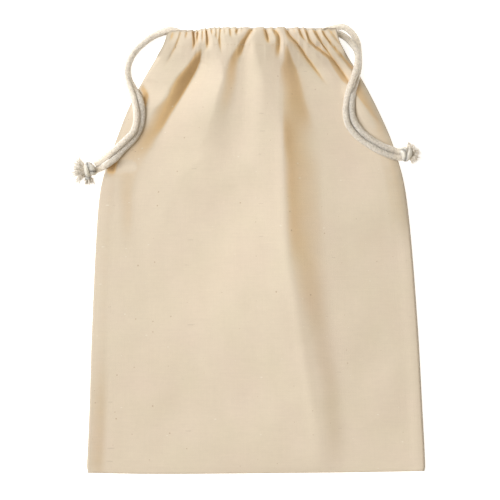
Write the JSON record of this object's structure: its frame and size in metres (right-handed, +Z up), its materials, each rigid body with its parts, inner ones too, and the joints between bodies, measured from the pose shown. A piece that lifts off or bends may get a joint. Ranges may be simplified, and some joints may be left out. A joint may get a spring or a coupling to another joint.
{
  "type": "drawstring bag",
  "caption": "Flat cotton drawstring bag lying on its back, mouth half gathered on two cords that each end in a frayed knot beside it.",
  "frame": {"origin": "on the floor, under the middle of the bag's cloth as it lies on its back", "axes": "+X to the right across the bag seen from above, +Y from the bottom fold towards the mouth, +Z up from the floor"},
  "size_m": [0.3112, 0.3979, 0.0251],
  "materials": {
    "cotton_cloth": "unbleached plain weave, matte",
    "cotton_cord": "soft twisted cord, matte"
  },
  "bodies": {
    "root": {"bag_cloth": "cotton_cloth", "cord_left": "cotton_cord", "cord_right": "cotton_cord", "knot_left": "cotton_cord", "knot_right": "cotton_cord"}
  },
  "joints": []
}
